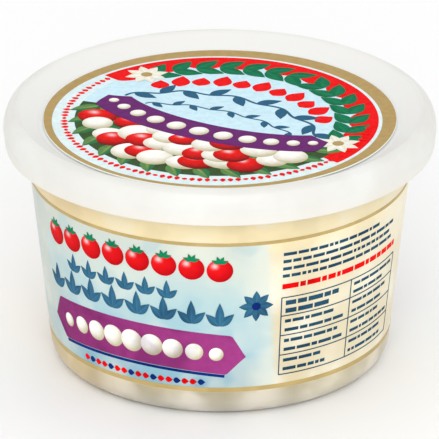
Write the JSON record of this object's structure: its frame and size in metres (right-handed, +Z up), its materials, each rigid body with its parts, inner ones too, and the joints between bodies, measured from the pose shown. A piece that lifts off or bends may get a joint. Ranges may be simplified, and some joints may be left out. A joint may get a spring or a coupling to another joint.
{
  "type": "tub of mozzarella pearls",
  "caption": "Shut round plastic deli tub with tapered side and press-on lid, holding small fresh mozzarella balls in water.",
  "frame": {"origin": "middle of the flat ring that the tub stands on", "axes": "+Z up along the tub's axis, -Y towards the front of the print"},
  "size_m": [0.117, 0.117, 0.071],
  "materials": {
    "tub_plastic": "thin see-through cream plastic, softly frosted, printed on the outside",
    "lid_plastic": "milky white plastic with a satin surface",
    "print": "printed in flat colours, satin",
    "cheese_in_water": "small wet white cheese balls in cloudy water"
  },
  "bodies": {
    "root": {"tub": "tub_plastic", "lid": "lid_plastic", "lid_label": "print", "contents": "cheese_in_water"}
  },
  "joints": []
}
